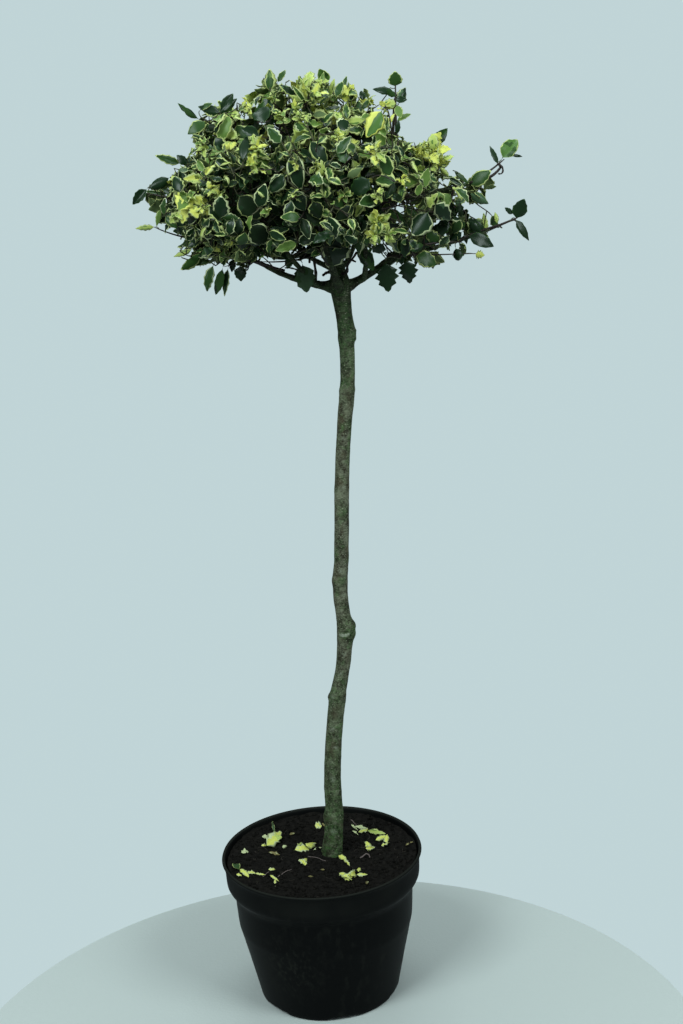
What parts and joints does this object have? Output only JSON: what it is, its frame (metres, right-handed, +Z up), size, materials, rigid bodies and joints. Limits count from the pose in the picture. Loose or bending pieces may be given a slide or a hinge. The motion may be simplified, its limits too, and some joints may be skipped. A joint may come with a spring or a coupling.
{
  "type": "variegated holly tree in a pot",
  "caption": "Young holly grown on one clear leaning stem with a broad, flat-domed head of variegated leaves, standing in a round black nursery pot filled with compost.",
  "frame": {"origin": "centre of the pot's flat underside", "axes": "+X to the right of the plant's best side, -Y towards whoever looks at that side, +Z up"},
  "size_m": [0.6037, 0.487, 1.518],
  "materials": {
    "pot": "satin",
    "compost": "rough, damp",
    "bark": "matte",
    "foliage": "satin"
  },
  "bodies": {
    "root": {"pot": "pot", "compost": "compost", "trunk": "bark", "bough_leader": "bark", "bough_left": "bark", "bough_right": "bark", "bough_front": "bark", "bough_back": "bark", "bough_left_outer": "bark", "bough_left_upper": "bark", "bough_top_right": "bark", "bough_right_outer": "bark", "bough_right_upper": "bark", "bough_right_shoot": "bark", "bough_right_lower": "bark", "bough_right_under": "bark", "bough_front_left": "bark", "bough_front_right": "bark", "bough_back_left": "bark", "bough_back_right": "bark", "bough_low_front": "bark", "foliage_left_low": "foliage", "foliage_left": "foliage", "foliage_left_upper": "foliage", "foliage_top": "foliage", "foliage_top_right": "foliage", "foliage_right_shoot": "foliage", "foliage_right_upper": "foliage", "foliage_right": "foliage", "foliage_right_tip": "foliage", "foliage_right_low": "foliage", "foliage_right_low_tip": "foliage", "foliage_front_left": "foliage", "foliage_front": "foliage", "foliage_front_right": "foliage", "foliage_back_left": "foliage", "foliage_back": "foliage", "foliage_back_right": "foliage", "foliage_low_front": "foliage"}
  },
  "joints": []
}
